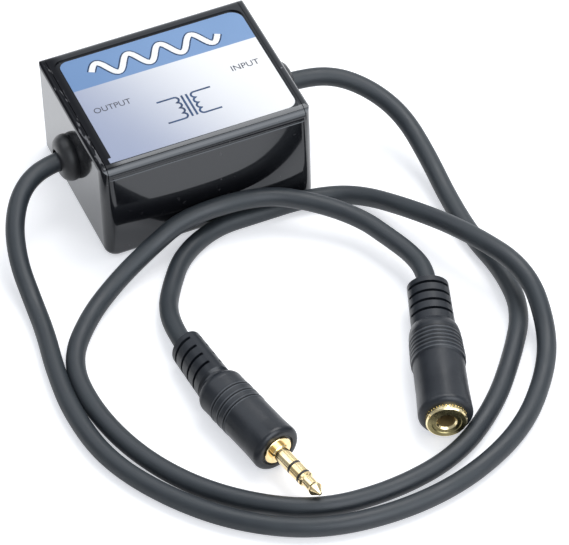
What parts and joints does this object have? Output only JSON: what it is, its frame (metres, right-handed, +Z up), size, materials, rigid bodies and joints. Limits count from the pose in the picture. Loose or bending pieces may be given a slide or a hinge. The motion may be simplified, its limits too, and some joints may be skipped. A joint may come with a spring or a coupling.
{
  "type": "ground loop isolator",
  "caption": "Small black box with a printed label on its lid and a thin flexible cord from each end wall: a gold three-contact plug on the output cord and a round socket on the input cord.",
  "frame": {"origin": "middle of the case's bottom face, on the surface that it stands on", "axes": "+X along the case from the output cord to the input cord, +Y towards the case's back, +Z up through the labelled lid"},
  "size_m": [0.1075, 0.1411, 0.0265],
  "materials": {
    "case_black": "glossy moulded ABS with fine scuffs",
    "label_print": "printed film label, blue band fading to white",
    "grommet_rubber": "smooth soft rubber",
    "board_green": "solder mask",
    "core_steel": "stacked sheet steel",
    "bobbin_plastic": "moulded nylon",
    "winding_tape": "insulating tape over the coil",
    "pin_tin": "tinned",
    "wire_white": "thin insulation",
    "wire_red": "thin insulation",
    "wire_copper": "twisted bare copper screen",
    "cord_jacket": "matte dark blue-grey flexible vinyl",
    "connector_black": "satin flexible vinyl moulding",
    "gold_plate": "gold plated",
    "band_black": "moulded insulator"
  },
  "bodies": {
    "root": {"case_tub": "case_black", "case_lid": "case_black", "face_label": "label_print", "output_grommet": "grommet_rubber", "input_grommet": "grommet_rubber", "circuit_board": "board_green", "left_core": "core_steel", "left_bobbin": "bobbin_plastic", "left_winding": "winding_tape", "left_pins": "pin_tin", "right_core": "core_steel", "right_bobbin": "bobbin_plastic", "right_winding": "winding_tape", "right_pins": "pin_tin", "output_wire_left": "wire_white", "output_wire_right": "wire_red", "output_wire_ground": "wire_copper", "input_wire_left": "wire_white", "input_wire_right": "wire_red", "input_wire_ground": "wire_copper", "output_cord": "cord_jacket", "input_cord": "cord_jacket", "plug_body": "connector_black", "plug_sleeve": "gold_plate", "plug_insulator_rear": "band_black", "plug_ring": "gold_plate", "plug_insulator_front": "band_black", "plug_tip": "gold_plate", "jack_body": "connector_black", "jack_bushing": "gold_plate", "jack_insulator": "band_black", "jack_tip_spring": "gold_plate", "jack_ring_spring": "gold_plate"}
  },
  "joints": []
}
